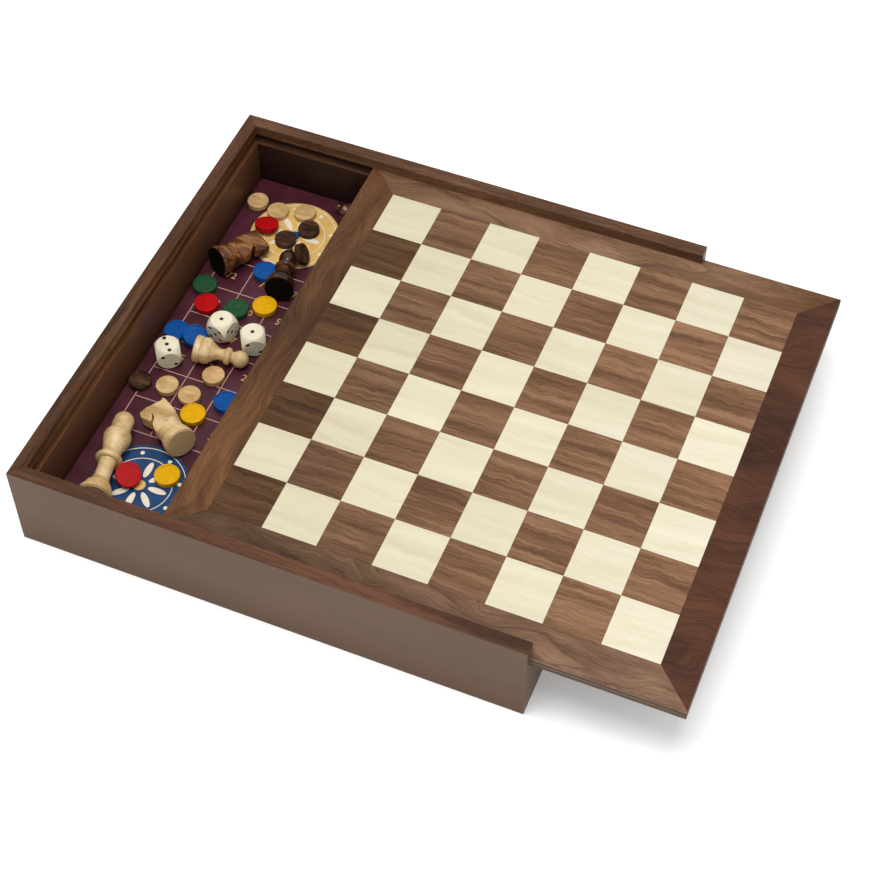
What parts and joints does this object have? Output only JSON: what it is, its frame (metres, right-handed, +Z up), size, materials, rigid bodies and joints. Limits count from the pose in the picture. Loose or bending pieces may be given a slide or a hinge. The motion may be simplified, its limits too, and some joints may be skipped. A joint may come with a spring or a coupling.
{
  "type": "games compendium box",
  "caption": "Shallow wooden box with a sliding inlaid chessboard lid, holding chessmen, draughts, ludo counters, dice and printed game boards; the lid slides out along grooves.",
  "frame": {"origin": "centre of the box's underside", "axes": "+X the way the lid slides out, +Y to the back wall, +Z up"},
  "size_m": [0.422, 0.334, 0.066],
  "materials": {
    "walnut_walls": "stained and lacquered, satin",
    "base_board": "stained plywood, matt",
    "game_board_card": "dense greyboard, matt",
    "printed_paper": "coated printed paper",
    "lid_core_board": "sanded edge of a wooden board",
    "backing_veneer": "dark stained veneer",
    "border_walnut": "figured walnut, satin lacquer",
    "maple_veneer": "maple veneer, satin lacquer",
    "walnut_veneer": "walnut veneer, satin lacquer",
    "light_boxwood": "turned boxwood, satin",
    "dark_stained_wood": "turned hardwood, dark glossy stain",
    "brown_felt": "speckled brown felt",
    "black_felt": "black felt",
    "red_plastic": "moulded, satin",
    "yellow_plastic": "moulded, satin",
    "green_plastic": "moulded, satin",
    "blue_plastic": "moulded, satin",
    "ivory_plastic": "polished",
    "pip_paint": "filled pips"
  },
  "bodies": {
    "box": {"front_wall": "walnut_walls", "back_wall": "walnut_walls", "left_wall": "walnut_walls", "right_wall": "walnut_walls", "base_panel": "base_board", "game_board_lower": "game_board_card", "printed_sheet_lower": "printed_paper", "game_board_middle": "game_board_card", "printed_sheet_middle": "printed_paper", "game_board_upper": "game_board_card", "printed_sheet_upper": "printed_paper", "light_king": "light_boxwood", "light_queen": "light_boxwood", "light_bishops": "light_boxwood", "light_knights": "light_boxwood", "light_rooks": "light_boxwood", "light_pawns": "light_boxwood", "light_draughts": "light_boxwood", "light_baize_pads": "brown_felt", "dark_king": "dark_stained_wood", "dark_queen": "dark_stained_wood", "dark_bishops": "dark_stained_wood", "dark_knights": "dark_stained_wood", "dark_rooks": "dark_stained_wood", "dark_pawns": "dark_stained_wood", "dark_draughts": "dark_stained_wood", "dark_baize_pads": "black_felt", "red_counters": "red_plastic", "yellow_counters": "yellow_plastic", "green_counters": "green_plastic", "blue_counters": "blue_plastic", "dice": "ivory_plastic", "dice_pips": "pip_paint"},
    "lid": {"lid_core": "lid_core_board", "lid_backing": "backing_veneer", "field_panel": "lid_core_board", "border_front": "border_walnut", "border_back": "border_walnut", "border_left": "border_walnut", "border_right": "border_walnut", "light_squares": "maple_veneer", "dark_squares": "walnut_veneer"}
  },
  "joints": [
    {"name": "lid_slide", "type": "slide", "parent": "box", "child": "lid", "axis": [1, 0, 0], "range_m": [-0.092, 0.24]}
  ]
}
